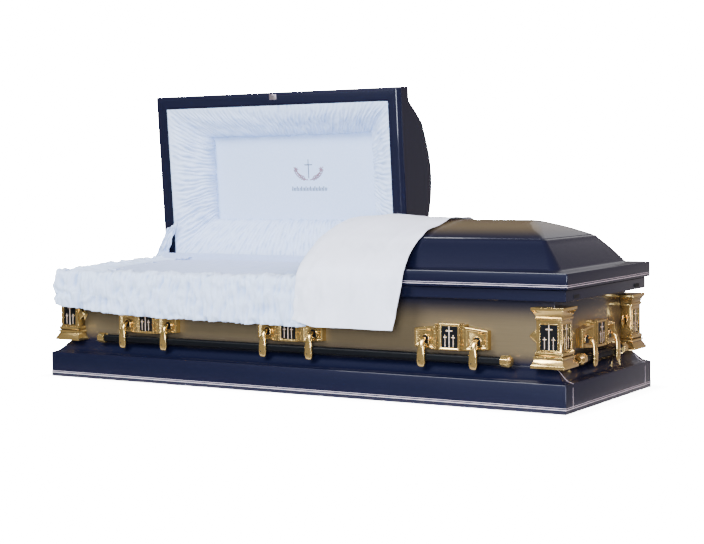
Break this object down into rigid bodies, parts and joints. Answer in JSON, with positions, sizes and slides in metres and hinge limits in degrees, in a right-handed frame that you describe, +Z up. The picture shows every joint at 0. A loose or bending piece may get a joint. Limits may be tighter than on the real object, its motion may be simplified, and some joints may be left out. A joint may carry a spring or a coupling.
{
  "type": "funeral casket",
  "caption": "Half-couch steel casket with a hinged two-part lid, lined interior, gold corner pillars and swing bar handles, shown with the head lid open.",
  "frame": {"origin": "middle of the flat underside", "axes": "+X towards the foot end, +Y towards the hinges, +Z up"},
  "size_m": [2.139, 0.9211, 1.0712],
  "materials": {
    "navy_paint": "gloss lacquer",
    "bronze_paint": "brushed bronze shaded to navy, gloss lacquer",
    "gold_plate": "polished plate",
    "black_paint": "gloss",
    "steel": "plated",
    "crepe": "shirred crepe",
    "satin": "soft satin",
    "rubber": "matt"
  },
  "bodies": {
    "casket": {"base_moulding": "navy_paint", "body_shell": "bronze_paint", "top_rail": "navy_paint", "rail_plug_front": "rubber", "rail_plug_back": "rubber", "hinge_head_rail_leaf": "steel", "hinge_foot_rail_leaf": "steel", "bed_frame": "steel", "mattress": "crepe", "apron": "crepe", "gusset": "crepe", "pillar_head_front": "gold_plate", "pillar_head_back": "gold_plate", "pillar_foot_front": "gold_plate", "pillar_foot_back": "gold_plate", "ear_front_1": "gold_plate", "ear_front_2": "gold_plate", "ear_front_3": "gold_plate", "ear_back_1": "gold_plate", "ear_back_2": "gold_plate", "ear_back_3": "gold_plate", "ear_foot": "gold_plate", "ear_head": "gold_plate"},
    "head_lid": {"head_lid_shell": "navy_paint", "lid_lining_roll": "crepe", "lid_lining_panel": "crepe", "lid_catch": "steel", "hinge_head_lid_leaf": "steel"},
    "foot_lid": {"foot_lid_shell": "navy_paint", "hinge_foot_lid_leaf": "steel", "throw": "satin"},
    "front_bar": {"arm_front_1_a": "gold_plate", "arm_front_1_b": "gold_plate", "arm_front_2_a": "gold_plate", "arm_front_2_b": "gold_plate", "arm_front_3_a": "gold_plate", "arm_front_3_b": "gold_plate", "bar_front": "black_paint", "tip_front_a": "gold_plate", "tip_front_b": "gold_plate"},
    "back_bar": {"arm_back_1_a": "gold_plate", "arm_back_1_b": "gold_plate", "arm_back_2_a": "gold_plate", "arm_back_2_b": "gold_plate", "arm_back_3_a": "gold_plate", "arm_back_3_b": "gold_plate", "bar_back": "black_paint", "tip_back_a": "gold_plate", "tip_back_b": "gold_plate"},
    "foot_bar": {"arm_foot_a": "gold_plate", "arm_foot_b": "gold_plate", "bar_foot": "black_paint", "tip_foot_a": "gold_plate", "tip_foot_b": "gold_plate"},
    "head_bar": {"arm_head_a": "gold_plate", "arm_head_b": "gold_plate", "bar_head": "black_paint", "tip_head_a": "gold_plate", "tip_head_b": "gold_plate"}
  },
  "joints": [
    {"name": "head_lid_hinge", "type": "hinge", "parent": "casket", "child": "head_lid", "pos_m": [0, 0.342, 0.378], "axis": [1, 0, 0], "range_deg": [0, 86], "deforming": ["apron", "gusset", "throw", "lid_lining_roll"]},
    {"name": "foot_lid_hinge", "type": "hinge", "parent": "casket", "child": "foot_lid", "pos_m": [0, 0.342, 0.378], "axis": [-1, 0, 0], "range_deg": [0, 86]},
    {"name": "front_bar_swing", "type": "hinge", "parent": "casket", "child": "front_bar", "pos_m": [0.005, -0.331, 0.212], "axis": [-1, 0, 0], "range_deg": [0, 80]},
    {"name": "back_bar_swing", "type": "hinge", "parent": "casket", "child": "back_bar", "pos_m": [0.005, 0.331, 0.212], "axis": [1, 0, 0], "range_deg": [0, 80]},
    {"name": "foot_bar_swing", "type": "hinge", "parent": "casket", "child": "foot_bar", "pos_m": [1.026, 0, 0.212], "axis": [0, -1, 0], "range_deg": [0, 80]},
    {"name": "head_bar_swing", "type": "hinge", "parent": "casket", "child": "head_bar", "pos_m": [-1.026, 0, 0.212], "axis": [0, 1, 0], "range_deg": [0, 80]}
  ]
}
